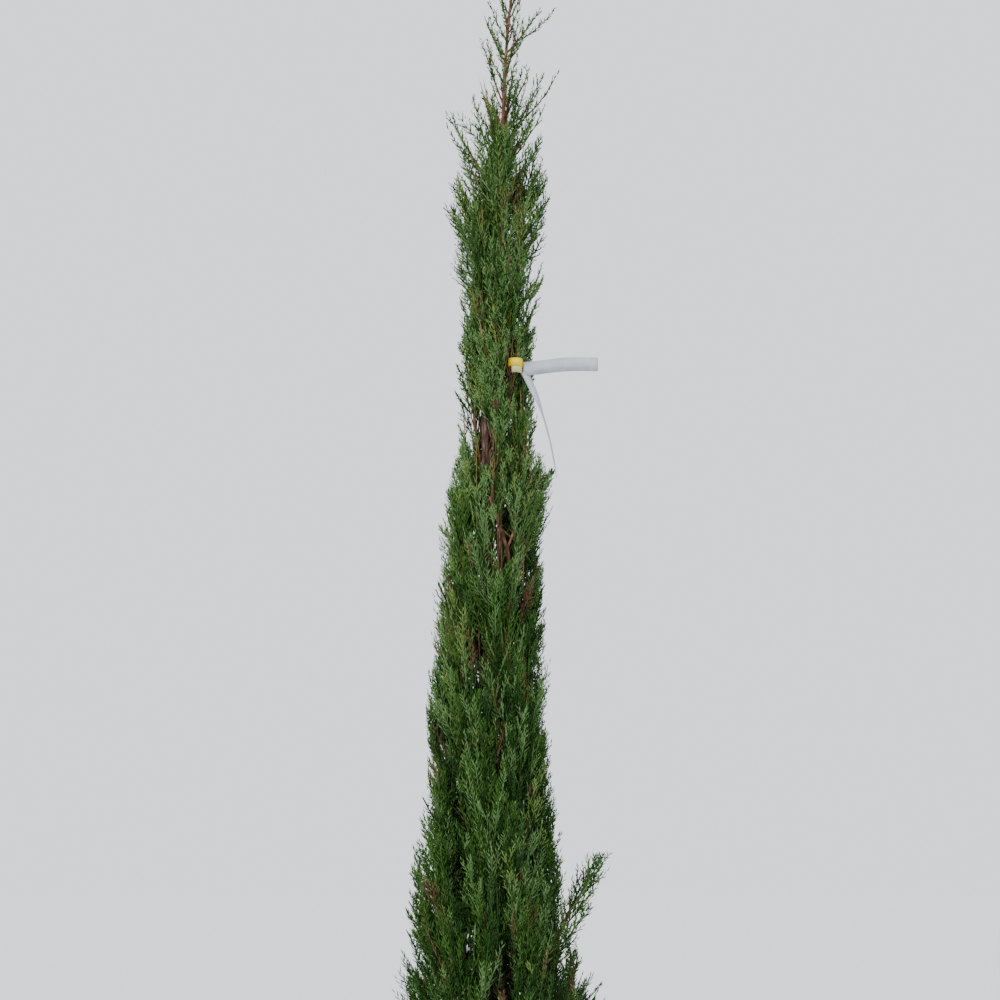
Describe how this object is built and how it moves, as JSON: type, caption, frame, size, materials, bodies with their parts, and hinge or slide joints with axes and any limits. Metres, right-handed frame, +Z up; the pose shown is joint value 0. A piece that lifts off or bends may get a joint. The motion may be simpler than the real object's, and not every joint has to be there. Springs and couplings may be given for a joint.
{
  "type": "italian cypress tree",
  "caption": "Slender young Italian cypress with a narrow crown of upright feathery sprays round one leading trunk, standing in a plain round plastic pot.",
  "frame": {"origin": "middle of the pot's flat underside, on the floor", "axes": "+Z up along the plant, -Y towards the front of the pictured side, +X to the right seen from the front"},
  "size_m": [0.2772, 0.28, 1.742],
  "materials": {
    "trunk_bark": "matte, fibrous grey-brown bark",
    "bough_bark": "matte red-brown young bark",
    "foliage_green_1": "matte scale leaves",
    "foliage_green_2": "matte scale leaves",
    "foliage_green_3": "matte scale leaves",
    "foliage_green_4": "matte scale leaves",
    "foliage_green_5": "matte scale leaves",
    "pot_plastic": "satin black moulded plastic",
    "compost": "matte, crumbly",
    "label_yellow": "satin plastic film",
    "label_white": "satin plastic film"
  },
  "bodies": {
    "root": {"trunk": "trunk_bark", "bough_01": "bough_bark", "foliage_01": "foliage_green_1", "bough_02": "bough_bark", "foliage_02": "foliage_green_2", "bough_03": "bough_bark", "foliage_03": "foliage_green_3", "bough_04": "bough_bark", "foliage_04": "foliage_green_4", "bough_05": "bough_bark", "foliage_05": "foliage_green_5", "bough_06": "bough_bark", "foliage_06": "foliage_green_1", "bough_07": "bough_bark", "foliage_07": "foliage_green_2", "bough_08": "bough_bark", "foliage_08": "foliage_green_3", "bough_09": "bough_bark", "foliage_09": "foliage_green_4", "bough_10": "bough_bark", "foliage_10": "foliage_green_5", "bough_11": "bough_bark", "foliage_11": "foliage_green_1", "bough_12": "bough_bark", "foliage_12": "foliage_green_2", "bough_13": "bough_bark", "foliage_13": "foliage_green_3", "bough_14": "bough_bark", "foliage_14": "foliage_green_4", "foliage_15": "foliage_green_5", "foliage_16": "foliage_green_1", "foliage_17": "foliage_green_2", "foliage_18": "foliage_green_3", "foliage_19": "foliage_green_4", "foliage_20": "foliage_green_5", "foliage_21": "foliage_green_1", "foliage_22": "foliage_green_2", "foliage_23": "foliage_green_3", "foliage_24": "foliage_green_4", "foliage_25": "foliage_green_5", "foliage_26": "foliage_green_1", "foliage_27": "foliage_green_2", "bough_15": "bough_bark", "foliage_28": "foliage_green_3", "foliage_29": "foliage_green_4", "foliage_30": "foliage_green_5", "foliage_31": "foliage_green_1", "foliage_32": "foliage_green_2", "foliage_33": "foliage_green_3", "foliage_34": "foliage_green_4", "foliage_35": "foliage_green_5", "foliage_36": "foliage_green_1", "foliage_37": "foliage_green_2", "foliage_38": "foliage_green_3", "foliage_39": "foliage_green_4", "pot": "pot_plastic", "soil": "compost", "label_band": "label_yellow", "label_flag": "label_white"}
  },
  "joints": []
}
